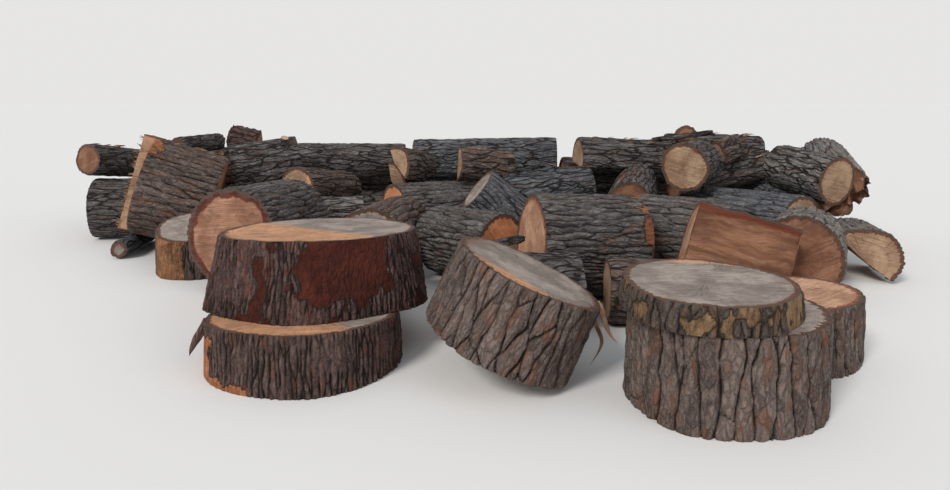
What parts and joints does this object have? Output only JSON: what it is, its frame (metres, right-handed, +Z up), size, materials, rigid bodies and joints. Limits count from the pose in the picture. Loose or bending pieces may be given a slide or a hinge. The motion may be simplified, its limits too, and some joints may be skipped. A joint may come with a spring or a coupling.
{
  "type": "heap of logs",
  "caption": "Irregular heap of sawn tree trunks: wide rounds stand and lean along its front, lying logs, split pieces and broken ends are stacked behind them.",
  "frame": {"origin": "on the ground, under the middle of the heap's bounding box", "axes": "+X along the heap, to the right as seen from its front; +Y to its back; +Z up"},
  "size_m": [7.671, 6.6158, 1.1556],
  "materials": {
    "front_rounds": "rough furrowed bark, sawn ends weathered pinkish grey",
    "lying_logs": "flaky grey-brown bark, sawn ends orange-brown",
    "split_logs": "split reddish-brown wood with strips of bark"
  },
  "bodies": {
    "root": {"front_right_round": "front_rounds", "low_left_round": "front_rounds", "right_end_round": "front_rounds", "butt_round": "front_rounds", "front_right_slab": "front_rounds", "hidden_logs": "lying_logs", "split_half_log": "split_logs", "flaky_log": "lying_logs", "barrel_log": "lying_logs", "leaning_rest_log": "lying_logs", "leaning_round": "front_rounds", "right_neighbour_log": "lying_logs", "front_facing_log": "lying_logs", "grey_end_log": "lying_logs", "red_rimmed_log": "lying_logs", "small_left_round": "front_rounds", "felled_log": "lying_logs", "pale_end_log": "lying_logs", "tan_split_log": "split_logs", "sunlit_end_log": "lying_logs", "ground_logs_middle": "lying_logs", "ground_logs_left": "lying_logs", "ground_logs_right": "lying_logs", "ground_logs_back": "lying_logs", "ground_logs_far": "lying_logs", "back_ridge_logs": "lying_logs", "tilted_log": "lying_logs", "stub_log": "lying_logs", "tan_end_log": "lying_logs", "dark_end_log": "lying_logs", "rounded_end_log": "lying_logs", "short_upper_log": "lying_logs", "broken_stump": "lying_logs", "mossy_log": "lying_logs", "stringy_logs": "lying_logs", "upper_left_logs": "lying_logs", "upper_left_splits": "split_logs", "upper_middle_splits": "split_logs", "ridge_slab": "split_logs", "small_round_log": "lying_logs", "quarter_split": "split_logs", "thin_branches": "lying_logs"}
  },
  "joints": []
}
